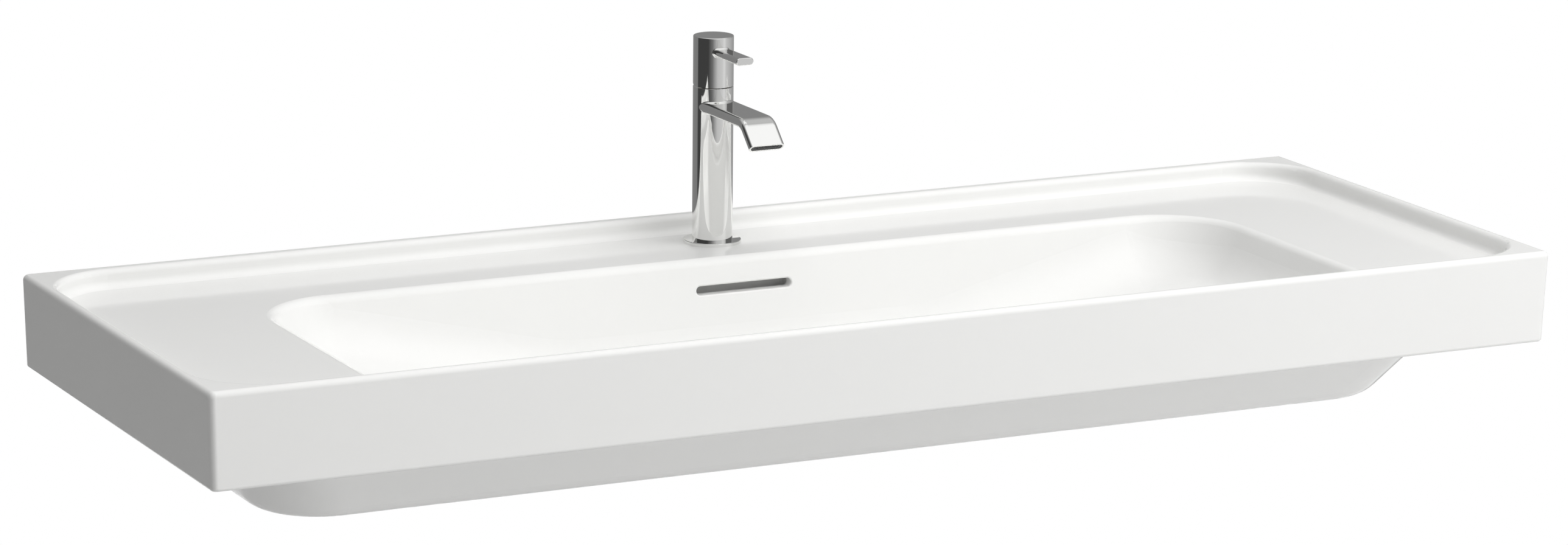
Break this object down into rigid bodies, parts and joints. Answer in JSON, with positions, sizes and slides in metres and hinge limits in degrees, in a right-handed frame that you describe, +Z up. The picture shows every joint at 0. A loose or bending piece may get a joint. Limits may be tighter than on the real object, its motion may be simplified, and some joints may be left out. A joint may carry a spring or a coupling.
{
  "type": "vanity basin",
  "caption": "Wide white ceramic vanity basin with a raised rim, sunk deck, ramped bowl and overflow slot, with a chrome single-lever tap and a push-open waste.",
  "frame": {"origin": "midway between the two wall-bolt holes, on the wall plane", "axes": "+X to the right seen from the front, +Y towards the wall, +Z up"},
  "size_m": [1.2998, 0.4699, 0.3553],
  "materials": {
    "ceramic": "gloss white glaze",
    "chrome": "polished chrome plate",
    "steel": "plain stainless steel",
    "brass": "machined brass",
    "rubber": "matt black rubber",
    "white_plastic": "plain moulded plastic",
    "grey_plastic": "grey moulded plastic",
    "cover_plastic": "gloss metal-coloured plastic",
    "disc_ceramic": "ground alumina"
  },
  "bodies": {
    "fixed": {"basin": "ceramic", "tap_flange": "chrome", "base_gasket": "rubber", "tap_body": "chrome", "spout": "chrome", "aerator_frame": "grey_plastic", "aerator_mesh": "grey_plastic", "retaining_nut": "brass", "cartridge_housing": "white_plastic", "inlet_seals": "rubber", "fixed_disc": "disc_ceramic", "clamp_washer": "rubber", "clamp_plate": "steel", "stud_nut": "brass", "tap_stud": "steel", "waste_body": "chrome", "flange_gasket": "rubber", "waste_gasket": "rubber", "back_nut": "brass", "plug_cartridge": "white_plastic"},
    "turret": {"stem_guide": "white_plastic", "stem_pin": "steel"},
    "valve_disc": {"moving_disc": "disc_ceramic", "disc_carrier": "white_plastic"},
    "handle": {"stem": "brass", "handle_head": "chrome", "lever": "chrome", "grub_screw": "steel", "handle_plug": "cover_plastic"},
    "plug": {"plug_rod": "brass", "plug_cap": "chrome", "plug_seal": "rubber"}
  },
  "joints": [
    {"name": "handle_turn", "type": "hinge", "parent": "fixed", "child": "turret", "pos_m": [0, -0.055, 0.1885], "axis": [0, 0, 1], "range_deg": [-45, 45]},
    {"name": "handle_lift", "type": "hinge", "parent": "turret", "child": "handle", "pos_m": [0, -0.055, 0.184], "axis": [-1, 0, 0], "range_deg": [0, 14]},
    {"name": "disc_slide", "type": "slide", "parent": "turret", "child": "valve_disc", "axis": [0, -1, 0], "range_m": [0, 0.003]},
    {"name": "plug_lift", "type": "slide", "parent": "fixed", "child": "plug", "axis": [0, 0, 1], "range_m": [0, 0.008]}
  ],
  "couplings": [
    {"joint": "disc_slide", "follows": "handle_lift", "m_per_rad": 0.01085}
  ]
}
